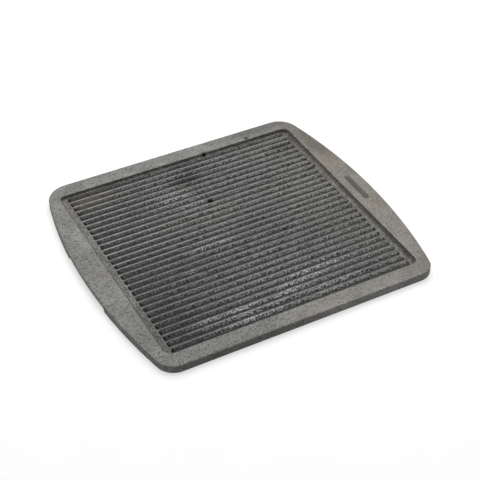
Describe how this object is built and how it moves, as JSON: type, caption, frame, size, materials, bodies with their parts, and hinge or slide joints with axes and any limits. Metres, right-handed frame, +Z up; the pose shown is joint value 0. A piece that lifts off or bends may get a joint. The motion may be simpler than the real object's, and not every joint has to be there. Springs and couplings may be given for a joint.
{
  "type": "ribbed press plate",
  "caption": "Flat cast-iron press or griddle plate with a rim, a shallow grooved recess and two bowed grip ends with finger notches.",
  "frame": {"origin": "middle of the flat underside, on the surface that the plate rests on", "axes": "+X along the ribs towards the grip with the blank pocket, +Y from the front edge to the back edge, +Z up through the plate"},
  "size_m": [0.375, 0.342, 0.01],
  "materials": {
    "cast_iron": "rough as-cast grey iron, darker in the grooves"
  },
  "bodies": {
    "root": {"cast_plate": "cast_iron"}
  },
  "joints": []
}
